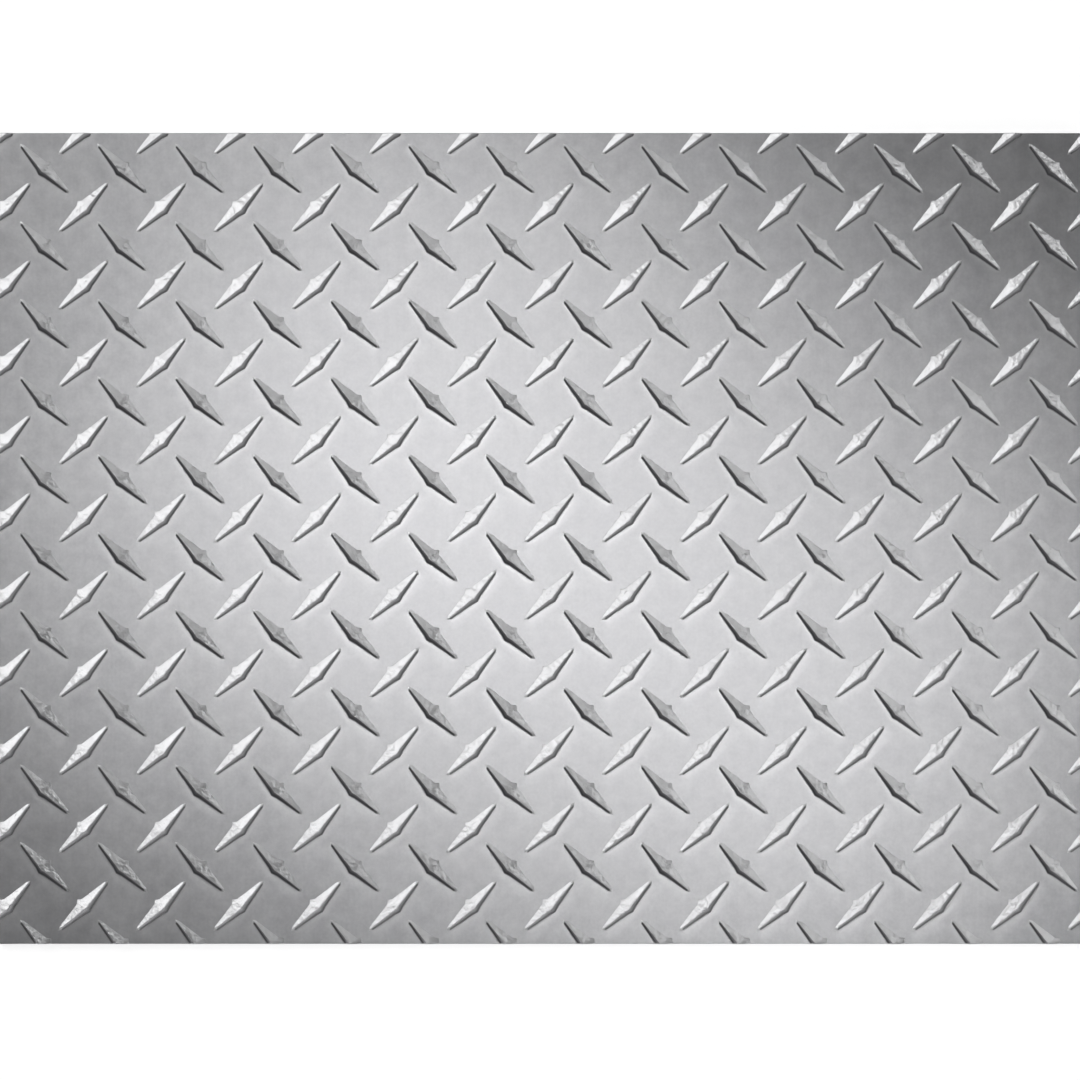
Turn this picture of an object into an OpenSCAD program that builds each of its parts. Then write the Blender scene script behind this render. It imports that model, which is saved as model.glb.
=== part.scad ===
// Stainless steel tread sheet: a flat rolled sheet whose upper face carries raised diamond lugs.
// The lugs lie at 45 degrees to the edges, each a quarter turn from its nearest neighbours.
// The sheet is sheared from wider rolled stock, so its edges cut through the lugs that they meet.
// The origin is the middle of the flat back. X runs along the sheet, Y the way it was rolled, Z up.

/* [Sheet] */
// Length of the sheet, along X
sheet_length = 400; // [100:1:560]
// Width of the sheet, along Y
sheet_width = 300; // [100:1:420]
// Thickness of the sheet between its lugs
sheet_thickness = 3; // [1:0.1:8]

/* [Lug] */
// Length of a lug at its foot, from tip to tip
lug_length = 25.2; // [16:0.1:30]
// Width of a lug at its foot, across its middle
lug_width = 5; // [4:0.1:9]
// Width of a lug's blunt tips at its foot
tip_width = 0.8; // [0.3:0.1:2]
// Height of a lug above the sheet
lug_height = 1.5; // [0.5:0.1:3]
// Width of the crest on top of a lug, across its middle
crest_width = 0.4; // [0.3:0.05:2]
// How far rolling has pushed the crest from the middle of its lug
crest_lean = 1.25; // [0:0.05:1.6]
// How far a lug's blunt ends slope in towards its crest
end_run = 1.5; // [0.5:0.1:8]

/* [Pattern] */
// Distance between lugs that point the same way, along X and along Y
lug_pitch = 28.7; // [24:0.1:40]
// X of a falling lug near the middle of the sheet
pattern_x = -11; // [-20:0.1:20]
// Y of that lug
pattern_y = -6.7; // [-20:0.1:20]
// Angle between a lug and the sheet's length
lug_angle = 45; // [30:1:60]

/* [Hidden] */

// The flanks run on below the sheet's face by this much, so that a lug is one with the sheet
lug_root = 0.5;
// Angle between a lug's long sides and its middle line
lug_taper = atan((lug_width - tip_width) / lug_length);
// A lug whose middle is this far outside the edge no longer reaches the sheet
lug_reach = lug_length / 2;
// Rolled stock stands out past the sheared edges by this much
stock_margin = lug_length + lug_root;
// Steps of the pattern from its start to past the edges
columns = ceil((sheet_length / 2 + lug_reach + abs(pattern_x)) / lug_pitch);
rows = ceil((sheet_width / 2 + lug_reach + abs(pattern_y)) / lug_pitch);

// A flat-topped ridge along two opposite sides of a lug, with its crest pushed over
module ridge(side_angle, foot_half, crest_half, push) {
    root_rise = -lug_root / lug_height;
    root_half = foot_half + (crest_half - foot_half) * root_rise;
    root_middle = -push * root_rise;
    rotate([0, 0, side_angle])
        rotate([90, 0, 90])
            linear_extrude(height = 2 * lug_length, center = true)
                polygon([
                    [root_middle - root_half, -lug_root],
                    [root_middle + root_half, -lug_root],
                    [crest_half - push, lug_height],
                    [-crest_half - push, lug_height],
                ]);
}

// One raised lug: what is common to a ridge along each pair of sides and one across the ends
module lug() {
    foot_half = lug_width / 2 * cos(lug_taper);
    crest_half = crest_width / 2 * cos(lug_taper);
    push = crest_lean * cos(lug_taper);
    intersection() {
        ridge(lug_taper, foot_half, crest_half, push);
        ridge(-lug_taper, foot_half, crest_half, push);
        ridge(90, lug_length / 2, lug_length / 2 - end_run, 0);
    }
}

// A lug in its place, if any of it reaches the sheet
module placed_lug(x, y, angle) {
    if (abs(x) < sheet_length / 2 + lug_reach && abs(y) < sheet_width / 2 + lug_reach)
        translate([x, y, sheet_thickness]) rotate([0, 0, angle]) lug();
}

// Falling lugs, and rising lugs half a step away both ways
module lug_rows() {
    for (column = [-columns : columns], row = [-rows : rows]) {
        x = pattern_x + column * lug_pitch;
        y = pattern_y + row * lug_pitch;
        placed_lug(x, y, -lug_angle);
        placed_lug(x + lug_pitch / 2, y + lug_pitch / 2, lug_angle);
    }
}

// The stock as it leaves the rolls, wider than the sheet all round
module rolled_stock() {
    translate([-sheet_length / 2 - stock_margin, -sheet_width / 2 - stock_margin, 0])
        cube([sheet_length + 2 * stock_margin, sheet_width + 2 * stock_margin, sheet_thickness]);
    lug_rows();
}

// What the shear leaves: square edges, straight through sheet and lugs
module sheared_outline() {
    translate([-sheet_length / 2, -sheet_width / 2, 0])
        cube([sheet_length, sheet_width, sheet_thickness + lug_height]);
}

module tread_sheet() {
    color("silver") intersection() {
        union() rolled_stock();
        sheared_outline();
    }
}

tread_sheet();
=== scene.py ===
import math

import bmesh
import bpy
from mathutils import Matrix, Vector


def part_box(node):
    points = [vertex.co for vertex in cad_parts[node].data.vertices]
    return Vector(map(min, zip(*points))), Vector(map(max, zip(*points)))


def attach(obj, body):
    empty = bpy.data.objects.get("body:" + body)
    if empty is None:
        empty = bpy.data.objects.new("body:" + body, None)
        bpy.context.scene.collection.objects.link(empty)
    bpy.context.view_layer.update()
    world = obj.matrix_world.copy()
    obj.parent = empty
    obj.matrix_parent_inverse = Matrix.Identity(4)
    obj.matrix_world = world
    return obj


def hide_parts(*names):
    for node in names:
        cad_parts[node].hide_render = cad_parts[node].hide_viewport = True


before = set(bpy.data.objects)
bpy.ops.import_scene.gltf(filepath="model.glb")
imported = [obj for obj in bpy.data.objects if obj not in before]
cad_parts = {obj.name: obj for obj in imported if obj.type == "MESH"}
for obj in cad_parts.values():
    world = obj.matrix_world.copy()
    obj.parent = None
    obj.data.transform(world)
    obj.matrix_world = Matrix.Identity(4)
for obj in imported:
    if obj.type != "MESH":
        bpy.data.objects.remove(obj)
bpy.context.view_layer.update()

# Tread sheet: one piece of stainless steel, hot rolled between a plain roll and an engraved one, which
# raises the diamond lugs, then pickled to a pale satin grey and sheared to size through whatever lugs
# the cut meets. It lies on its plain back.
mm = 0.001
low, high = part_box("tread_sheet")
sheet_length = high[0] - low[0]
sheet_width = high[1] - low[1]
face_height = 3 * mm

# A lug is a long low wedge on a slim rhombus with blunt tips. Rolling has pushed its crest towards -Y, so
# the flanks on that side are steep and the others gentle, and has left a spur at the middle of each side.
lug_pitch = 28.7 * mm
first_lug = (-11 * mm, -6.7 * mm)

# Lugs lie in a square net turned by 45 degrees. Each has a rectangle of face to itself, and a square
# of face is left between every four.
net = lug_pitch / math.sqrt(2)
patch_across = 5.6 * mm
patch_along = net - patch_across

# Outlines of a lug from the crest out, in millimetres over the face: the crest, its rounded edge, the
# bottom of the flanks, the foot, the shallow trough that the rolls draw along the steep side, and its
# far side. Each gives the tip, then the shoulder, corner and middle of the gentle side, then the
# middle, corner and shoulder of the steep side. Beside it is how much of it is crest and how much is
# dented by use, and then how much of its steep side is painted dark, a painted shade, and how much is
# painted light, a painted reflection in the trough. The gentle side is painted light, a painted
# highlight, from the crest to the foot, most of all at its shoulders and tips.
gentle_burnish = (2, 2, 1.6, 1.6, 1.6, 2, 2)
outlines = [
    ([(12, 0.1, 0.3), (11.2, 0.08, 0.38), (2, -0.95, 1.4), (0, -1.3, 1.5),
      (0, -1.55, 1.5), (1.9, -1.15, 1.4), (11.2, -0.1, 0.38)], 1, 1, 0, 0),
    ([(12.3, 0.1, 0.22), (11.4, 0.26, 0.31), (1.8, -0.7, 1.3), (0, -1.05, 1.42),
      (0, -1.7, 1.4), (1.9, -1.28, 1.28), (11.4, -0.2, 0.32)], 0.7, 1, 0.6, 0),
    ([(12.65, 0.1, 0.09), (11.6, 0.7, 0.05), (1.35, 2.1, 0.05), (0, 2.95, 0.42),
      (0, -2.8, 0.2), (2, -2.12, 0.17), (11.6, -0.48, 0.1)], 0, 0.8, 1, 0),
    ([(12.85, 0.1, 0.01), (11.65, 0.76, 0.004), (1.37, 2.17, 0.004), (0, 3.3, 0.03),
      (0, -3.15, 0.02), (2.1, -2.42, 0.02), (11.7, -0.7, 0.02)], 0, 0.3, 0.9, 0),
    ([(13.2, 0.05, -0.02), (11.7, 0.82, 0), (1.4, 2.23, 0), (0, 3.37, 0),
      (0, -3.5, -0.1), (2.2, -2.85, -0.11), (11.8, -1.05, -0.07)], 0, 0, 0, 1),
    ([(13.8, 0, 0), (12.1, 1.6, 0), (2.4, 3.3, 0), (0, 4.3, 0),
      (0, -4.9, -0.01), (2.4, -4.4, -0.01), (12, -2.6, -0.01)], 0, 0, 0, 0.3),
]


def all_round(half):
    """An outline from its right half, the other way round from its tip."""
    left = [(-x, y, z) for x, y, z in half]
    points = half[:4] + left[2:0:-1] + [left[0]] + left[:4:-1] + half[4:]
    return [(x * mm, y * mm, face_height + z * mm) for x, y, z in points]


a, b = patch_along, patch_across
patch_edge = [(a, 0), (a, b), (b, b), (0, b), (-b, b), (-a, b),
              (-a, 0), (-a, -b), (-b, -b), (0, -b), (b, -b), (a, -b)]
rings = [(all_round(half), *amounts) for half, *amounts in outlines]
rings.append(([(x, y, face_height) for x, y in patch_edge], 0, 0, 0, 0))
bm = bmesh.new()
crest_part = bm.verts.layers.float.new("crest")
dent_part = bm.verts.layers.float.new("dent")
# The points carry a painted shade for the steep flanks, and painted light for the gentle side, the tips
# and the trough by the steep foot.
scale_part = bm.verts.layers.float.new("scale")
burnish_part = bm.verts.layers.float.new("burnish")
loops = []
for outline, crest, dent, scale, burnish in rings:
    loop = [bm.verts.new(point) for point in outline]
    for vert in loop:
        vert[crest_part] = crest
        vert[dent_part] = dent
    # The steep side takes its painted shade and its painted light from the table.
    for vert in loop[7:]:
        vert[scale_part] = scale
        vert[burnish_part] = burnish
    loops.append(loop)
# The gentle side and its tips are painted light, a painted highlight.
for loop in loops[:4]:
    for vert, burnish in zip(loop, gentle_burnish):
        vert[burnish_part] = burnish
# The crest is closed by a strip of faces that run across it.
top = loops[0]
for i in range(6):
    bm.faces.new(list(dict.fromkeys((top[i], top[i + 1], top[11 - i], top[(12 - i) % 12]))))
for inner, outer in zip(loops, loops[1:]):
    for i in range(len(inner)):
        j = (i + 1) % len(inner)
        bm.faces.new((inner[i], outer[i], outer[j], inner[j]))
# The gentle side meets the face in a crisp line.
for loop in loops[2:4]:
    for i in range(6):
        bm.edges.get((loop[i], loop[i + 1])).smooth = False
lug_mesh = bpy.data.meshes.new("lug")
bm.to_mesh(lug_mesh)
bm.free()
lug = bpy.data.objects.new("lug", lug_mesh)
bpy.context.collection.objects.link(lug)

# The plain square between four lugs.
h = (patch_along - patch_across) / 2
bm = bmesh.new()
bm.faces.new([bm.verts.new((x, y, face_height)) for x, y in ((-h, -h), (h, -h), (h, h), (-h, h))])
land_mesh = bpy.data.meshes.new("land")
bm.to_mesh(land_mesh)
bm.free()
land = bpy.data.objects.new("land", land_mesh)
bpy.context.collection.objects.link(land)


class Shade:
    """A socket in a material's tree. Operators on values add Math nodes."""

    def __init__(self, tree, socket=None):
        self.tree = tree
        self.socket = socket

    def node(self, kind, settings=(), sockets=(), output=0):
        """A new node. Shades among its inputs are linked, and other values set."""
        made = self.tree.nodes.new(kind)
        for name, value in dict(settings).items():
            setattr(made, name, value)
        for name, value in dict(sockets).items():
            if isinstance(value, Shade):
                self.tree.links.new(value.socket, made.inputs[name])
            else:
                made.inputs[name].default_value = value
        return Shade(self.tree, made.outputs[output] if made.outputs else None)

    def math(self, operation, first, second):
        return self.node("ShaderNodeMath", {"operation": operation}, {0: first, 1: second})

    def __add__(self, other):
        return self.math("ADD", self, other)

    def __radd__(self, other):
        return self.math("ADD", other, self)

    def __sub__(self, other):
        return self.math("SUBTRACT", self, other)

    def __rsub__(self, other):
        return self.math("SUBTRACT", other, self)

    def __mul__(self, other):
        return self.math("MULTIPLY", self, other)

    def __rmul__(self, other):
        return self.math("MULTIPLY", other, self)


def new_finish(name):
    """A material with an empty tree, and a Shade to build it with."""
    finish = bpy.data.materials.new(name)
    finish.use_nodes = True
    finish.node_tree.nodes.clear()
    return finish, Shade(finish.node_tree)


# The pickled face is cloudy and mottled, with faint streaks the way it was rolled, and a fine grain. The
# lugs are knocked by use and smoother on the crest. Their steep sides are painted dark, a painted shade,
# and their gentle sides, tips and the trough by the steep foot are painted light, a painted highlight and
# reflection.
pickled, shade = new_finish("pickled_stainless")
place = shade.node("ShaderNodeTexCoord", output="Object")
cloud = shade.node("ShaderNodeTexNoise", sockets={"Vector": place, "Scale": 34, "Detail": 3})
mottle = shade.node("ShaderNodeTexNoise", sockets={"Vector": place, "Scale": 190, "Detail": 4})
fine = shade.node("ShaderNodeTexNoise", sockets={"Vector": place, "Scale": 900, "Detail": 2})
grain = shade.node("ShaderNodeTexNoise", sockets={"Vector": place, "Scale": 2400, "Detail": 2})
knocks = shade.node("ShaderNodeTexNoise", sockets={"Vector": place, "Scale": 620, "Detail": 2})
drawn = shade.node("ShaderNodeMapping", sockets={"Vector": place, "Scale": (1, 0.03, 1)})
streaks = shade.node("ShaderNodeTexNoise", sockets={"Vector": drawn, "Scale": 900, "Detail": 3})
crest = shade.node("ShaderNodeAttribute", {"attribute_name": "crest"}, output="Fac")
dent = shade.node("ShaderNodeAttribute", {"attribute_name": "dent"}, output="Fac")
# The painted shade of the steep flanks, and the painted light of the gentle side, tips and steep trough.
scale = shade.node("ShaderNodeAttribute", {"attribute_name": "scale"}, output="Fac")
burnish = shade.node("ShaderNodeAttribute", {"attribute_name": "burnish"}, output="Fac")
tone = 2.5 * (0.45 * cloud + 0.55 * mottle + 0.1 * streaks + 0.25 * fine - 0.475)
satin = shade.node("ShaderNodeMix", {"data_type": "RGBA"},
                   {"Factor": tone, 6: (0.6, 0.599, 0.617, 1), 7: (0.8, 0.799, 0.815, 1)}, output=2)
# The steep flanks are painted dark, a painted shade.
scaled = shade.node("ShaderNodeMix", {"data_type": "RGBA"},
                    {"Factor": 0.92 * scale, 6: satin, 7: (0.1, 0.1, 0.104, 1)}, output=2)
# The gentle side, tips and steep trough are painted light, a painted highlight and reflection.
colour = shade.node("ShaderNodeMix", {"data_type": "RGBA"},
                    {"Factor": 0.5 * burnish, 6: scaled, 7: (0.9, 0.901, 0.91, 1)}, output=2)
rough = 0.395 + 0.05 * tone - 0.06 * crest + 0.04 * scale - 0.02 * burnish
relief = shade.node("ShaderNodeBump", sockets={
    "Strength": 0.5, "Distance": 0.1 * mm,
    "Height": 0.06 * grain + 0.04 * mottle + 8 * dent * (knocks - 0.5)})
steel = shade.node("ShaderNodeBsdfPrincipled", sockets={
    "Base Color": colour, "Metallic": 1.0, "Roughness": rough, "Normal": relief})
shade.node("ShaderNodeOutputMaterial", sockets={"Surface": steel})

# The sheared edge is bright where the blade cut, down to a ragged line, and torn and dull below it.
bright_foot = 1.8 * mm
cut_edge, shade = new_finish("sheared_edge")
place = shade.node("ShaderNodeTexCoord", output="Object")
height = shade.node("ShaderNodeSeparateXYZ", sockets={"Vector": place}, output="Z")
upright = shade.node("ShaderNodeMapping", sockets={"Vector": place, "Scale": (1, 1, 0.06)})
tears = shade.node("ShaderNodeTexNoise", sockets={"Vector": upright, "Scale": 2600, "Detail": 3})
ragged = shade.node("ShaderNodeTexNoise", sockets={"Vector": place, "Scale": 300, "Detail": 2})
broken = shade.node("ShaderNodeMapRange", {"interpolation_type": "SMOOTHSTEP"}, {
    "Value": height + 0.5 * mm * ragged,
    "From Min": bright_foot + 0.3 * mm, "From Max": bright_foot - 0.1 * mm})
colour = shade.node("ShaderNodeMix", {"data_type": "RGBA"},
                    {"Factor": broken, 6: (0.56, 0.562, 0.575, 1), 7: (0.38, 0.382, 0.39, 1)}, output=2)
relief = shade.node("ShaderNodeBump", sockets={
    "Strength": 0.5, "Distance": 0.05 * mm, "Height": tears * (0.3 + 0.7 * broken)})
steel = shade.node("ShaderNodeBsdfPrincipled", sockets={
    "Base Color": colour, "Metallic": 1.0, "Roughness": 0.28 + 0.25 * broken, "Normal": relief})
shade.node("ShaderNodeOutputMaterial", sockets={"Surface": steel})

# The back has the clouds and streaks of the face, without its wear.
plain_back, shade = new_finish("rolled_back")
place = shade.node("ShaderNodeTexCoord", output="Object")
cloud = shade.node("ShaderNodeTexNoise", sockets={"Vector": place, "Scale": 26, "Detail": 3})
drawn = shade.node("ShaderNodeMapping", sockets={"Vector": place, "Scale": (1, 0.02, 1)})
streaks = shade.node("ShaderNodeTexNoise", sockets={"Vector": drawn, "Scale": 700, "Detail": 4})
grain = shade.node("ShaderNodeTexNoise", sockets={"Vector": place, "Scale": 2000, "Detail": 2})
tone = 0.6 * cloud + 0.4 * streaks
colour = shade.node("ShaderNodeMix", {"data_type": "RGBA"},
                    {"Factor": tone, 6: (0.62, 0.625, 0.64, 1), 7: (0.74, 0.745, 0.75, 1)}, output=2)
relief = shade.node("ShaderNodeBump", sockets={
    "Strength": 0.25, "Distance": 0.02 * mm, "Height": 0.5 * grain + 0.5 * streaks})
steel = shade.node("ShaderNodeBsdfPrincipled", sockets={
    "Base Color": colour, "Metallic": 1.0, "Roughness": 0.34 + 0.14 * tone, "Normal": relief})
shade.node("ShaderNodeOutputMaterial", sockets={"Surface": steel})

# The rolled face: falling lugs on a grid of points, rising lugs half a step away both ways, and the
# squares of plain face half a step to the right of every lug.
field = bpy.data.node_groups.new("rolled_face", "GeometryNodeTree")
sockets = {}
for name, kind in (("Lug", "NodeSocketObject"), ("Land", "NodeSocketObject"), ("Pitch", "NodeSocketFloat"),
                   ("Columns", "NodeSocketInt"), ("Rows", "NodeSocketInt"), ("First", "NodeSocketVector"),
                   ("Angle", "NodeSocketFloat"), ("Finish", "NodeSocketMaterial")):
    sockets[name] = field.interface.new_socket(name, in_out="INPUT", socket_type=kind).identifier
field.interface.new_socket("Geometry", in_out="OUTPUT", socket_type="NodeSocketGeometry")
entry = field.nodes.new("NodeGroupInput")


def grow(kind, settings=(), links=()):
    """A node of the rolled face. Sockets among its inputs are linked, and other values set."""
    made = field.nodes.new(kind)
    for name, value in dict(settings).items():
        setattr(made, name, value)
    for name, value in dict(links).items():
        if isinstance(value, bpy.types.NodeSocket):
            field.links.new(value, made.inputs[name])
        else:
            made.inputs[name].default_value = value
    return made


def times(first, second):
    return grow("ShaderNodeMath", {"operation": "MULTIPLY"}, {0: first, 1: second}).outputs[0]


def offset(x, y):
    return grow("ShaderNodeCombineXYZ", links={"X": x, "Y": y}).outputs[0]


def shifted(geometry, vector):
    return grow("GeometryNodeTransform", links={"Geometry": geometry, "Translation": vector}).outputs[0]


def placed(points, item, angle):
    """A copy of an object on every point, turned about Z."""
    source = grow("GeometryNodeObjectInfo", links={"Object": item}).outputs["Geometry"]
    turn = grow("ShaderNodeCombineXYZ", links={"Z": angle}).outputs[0]
    return grow("GeometryNodeInstanceOnPoints", links={
        "Points": points, "Instance": source, "Rotation": turn}).outputs[0]


pitch, columns, rows = entry.outputs["Pitch"], entry.outputs["Columns"], entry.outputs["Rows"]
span_x = times(pitch, grow("ShaderNodeMath", {"operation": "SUBTRACT"}, {0: columns, 1: 1.0}).outputs[0])
span_y = times(pitch, grow("ShaderNodeMath", {"operation": "SUBTRACT"}, {0: rows, 1: 1.0}).outputs[0])
grid = grow("GeometryNodeMeshGrid", links={
    "Size X": span_x, "Size Y": span_y, "Vertices X": columns, "Vertices Y": rows}).outputs["Mesh"]
half_pitch = times(pitch, 0.5)
falling = shifted(grid, entry.outputs["First"])
rising = shifted(falling, offset(half_pitch, half_pitch))
angle = entry.outputs["Angle"]
join = grow("GeometryNodeJoinGeometry")
for item in (placed(falling, entry.outputs["Lug"], times(angle, -1.0)),
             placed(rising, entry.outputs["Lug"], angle),
             placed(shifted(falling, offset(half_pitch, 0.0)), entry.outputs["Land"], angle),
             placed(shifted(rising, offset(half_pitch, 0.0)), entry.outputs["Land"], angle)):
    field.links.new(item, join.inputs[0])
real = grow("GeometryNodeRealizeInstances", links={"Geometry": join.outputs[0]}).outputs[0]
merged = grow("GeometryNodeMergeByDistance", links={"Geometry": real, "Distance": 0.01 * mm}).outputs[0]
finished = grow("GeometryNodeSetMaterial", links={
    "Geometry": merged, "Material": entry.outputs["Finish"]}).outputs[0]
grow("NodeGroupOutput", links={"Geometry": finished})

stock = bpy.data.objects.new("stock", bpy.data.meshes.new("stock"))
bpy.context.collection.objects.link(stock)
rolling = stock.modifiers.new("rolling", "NODES")
rolling.node_group = field
for name, value in (("Lug", lug), ("Land", land), ("Pitch", lug_pitch), ("Columns", 17), ("Rows", 13),
                    ("First", (*first_lug, 0)), ("Angle", math.radians(45)), ("Finish", pickled)):
    rolling[sockets[name]] = value
graph = bpy.context.evaluated_depsgraph_get()
rolled = bpy.data.meshes.new_from_object(stock.evaluated_get(graph))
for item in (stock, lug, land):
    bpy.data.objects.remove(item)

# The shear: the face is cut a little inside the edge, rolled over, and carried down past the bright
# band and the torn one, which draws in towards the back. Each point of the rim keeps its home on the cut.
roll_over = 0.3 * mm
torn_in = 0.1 * mm
bm = bmesh.new()
bm.from_mesh(rolled)
home = bm.verts.layers.float_vector.new("home")
inner = (sheet_length / 2 - roll_over, sheet_width / 2 - roll_over)
for axis in (0, 1):
    for side in (-1, 1):
        point, normal = [0, 0, 0], [0, 0, 0]
        point[axis] = side * inner[axis]
        normal[axis] = side
        bmesh.ops.bisect_plane(bm, geom=bm.verts[:] + bm.edges[:] + bm.faces[:], dist=1e-7,
                               plane_co=point, plane_no=normal, clear_outer=True)
bmesh.ops.remove_doubles(bm, verts=bm.verts[:], dist=0.005 * mm)
rolled_side = set(bm.faces)
rim = [edge for edge in bm.edges if edge.is_boundary]
for vert in bm.verts:
    vert[home] = vert.co
# Each step of the rim says how far out it goes, and how far down from its home or at what height.
profile = [(roll_over * math.sin(turn), ("down", roll_over * (1 - math.cos(turn))))
           for turn in (math.radians(30), math.radians(60), math.radians(90))]
profile += [(roll_over, ("at", bright_foot)), (roll_over - torn_in, ("at", torn_in)),
            (roll_over - 2 * torn_in, ("at", 0))]
for out, (way, level) in profile:
    made = bmesh.ops.extrude_edge_only(bm, edges=rim)["geom"]
    for vert in made:
        if isinstance(vert, bmesh.types.BMVert):
            vert.co = vert[home]
            for axis in (0, 1):
                if abs(vert[home][axis]) > inner[axis] - 1e-6:
                    vert.co[axis] += math.copysign(out, vert[home][axis])
            vert.co.z = level if way == "at" else vert[home].z - level
    rim = [edge for edge in bm.edges if edge.is_boundary]
for face in bm.faces:
    face.material_index = 0 if face in rolled_side else 1
for face in bmesh.ops.contextual_create(bm, geom=rim)["faces"]:
    face.material_index = 2
bmesh.ops.recalc_face_normals(bm, faces=bm.faces[:])
for face in bm.faces:
    face.smooth = True
bm.verts.layers.float_vector.remove(home)
sheet_mesh = bpy.data.meshes.new("tread_sheet_skin")
bm.to_mesh(sheet_mesh)
bm.free()
for finish in (pickled, cut_edge, plain_back):
    sheet_mesh.materials.append(finish)
sheet = bpy.data.objects.new("tread_sheet_skin", sheet_mesh)
bpy.context.collection.objects.link(sheet)
flat_flanks = sheet.modifiers.new("flat_flanks", "WEIGHTED_NORMAL")
flat_flanks.mode = "FACE_AREA"
flat_flanks.keep_sharp = True
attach(sheet, "root")
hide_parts("tread_sheet")

# Floor: a wide white board, which takes the sheet's shadow. What the camera and the steel see of it is
# lifted to white, and by less near the sheet, where the soft boxes light it already.
bm = bmesh.new()
bmesh.ops.create_grid(bm, x_segments=1, y_segments=1, size=40)
floor_mesh = bpy.data.meshes.new("floor")
bm.to_mesh(floor_mesh)
bm.free()
floor = bpy.data.objects.new("floor", floor_mesh)
floor.location.z = -0.2 * mm
bpy.context.collection.objects.link(floor)
white, shade = new_finish("white_board")
board = shade.node("ShaderNodeBsdfDiffuse", sockets={"Color": (0.85, 0.85, 0.85, 1)})
place = shade.node("ShaderNodeTexCoord", output="Object")
away = shade.node("ShaderNodeVectorMath", {"operation": "LENGTH"}, {0: place}, output="Value")
far = shade.node("ShaderNodeMapRange", {"interpolation_type": "SMOOTHSTEP"}, {
    "Value": away, "From Min": 0.3, "From Max": 1.1})
bright = shade.node("ShaderNodeMix", {"data_type": "RGBA"},
                    {"Factor": far, 6: (0.68, 0.68, 0.68, 1), 7: (1, 1, 1, 1)}, output=2)
glow = shade.node("ShaderNodeEmission", sockets={"Color": bright, "Strength": 1})
seen = (shade.node("ShaderNodeLightPath", output="Is Camera Ray")
        + shade.node("ShaderNodeLightPath", output="Is Glossy Ray")
        + shade.node("ShaderNodeLightPath", output="Is Transmission Ray"))
lifted = shade.node("ShaderNodeAddShader", sockets={0: board, 1: glow})
surface = shade.node("ShaderNodeMixShader", sockets={0: seen, 1: board, 2: lifted})
shade.node("ShaderNodeOutputMaterial", sockets={"Surface": surface})
floor_mesh.materials.append(white)

# Light: a gridded box overhead that lights the face, three boxes round the sheet for the flanks of the
# lugs, and four dim ones that fill the gaps between them, in a dim room.
world = bpy.data.worlds.new("room")
bpy.context.scene.world = world
world.use_nodes = True
world.node_tree.nodes["Background"].inputs["Color"].default_value = (0.95, 0.97, 1, 1)
world.node_tree.nodes["Background"].inputs["Strength"].default_value = 0.02


def soft_box(name, place, size, power, aim=(0, 0, 0), turn=0, spread=180):
    """A rectangular lamp that faces a point on the sheet. A grid on its front narrows its spread."""
    lamp = bpy.data.lights.new(name, "AREA")
    lamp.shape = "RECTANGLE"
    lamp.size, lamp.size_y = size
    lamp.energy = power
    lamp.spread = math.radians(spread)
    box = bpy.data.objects.new(name, lamp)
    box.location = place
    box.rotation_euler = (box.location - Vector(aim)).to_track_quat("Z", "Y").to_euler()
    box.rotation_euler.rotate_axis("Z", math.radians(turn))
    box.visible_camera = False
    bpy.context.collection.objects.link(box)


soft_box("overhead", (0.008, 0.013, 1.2), (0.43, 0.275), 0.0421, (0.032, -0.035, 0), -59, 16)
soft_box("left_box", (-0.905, 0.757, 1.081), (1.201, 1.38), 7.3, turn=35.4)
soft_box("right_box", (1.223, 0.471, 0.918), (2.106, 0.455), 4.07, turn=16.6)
soft_box("front_box", (0.819, -1.311, 0.414), (2.6, 0.8), 8.8)
soft_box("fill_north", (0.051, 1.468, 0.848), (1.1, 1), 1.9)
soft_box("fill_west", (-1.42, -0.38, 0.8), (1.2, 0.8), 1.3)
soft_box("fill_southwest", (-0.82, -1.17, 0.85), (1.2, 0.7), 0.9)
soft_box("fill_south", (0.121, -1.384, 0.973), (1.2, 0.9), 1.87)

# Camera: straight down, square to the sheet, which fills the frame from side to side.
lens, sensor = 200, 36
view_width = 399.4 * mm
view_middle = (0, -0.56 * mm)
camera_data = bpy.data.cameras.new("camera")
camera_data.lens = lens
camera_data.sensor_width = sensor
camera = bpy.data.objects.new("camera", camera_data)
camera.location = (*view_middle, face_height + view_width * lens / sensor)
bpy.context.collection.objects.link(camera)
bpy.context.scene.camera = camera
bpy.context.scene.view_settings.view_transform = "Standard"
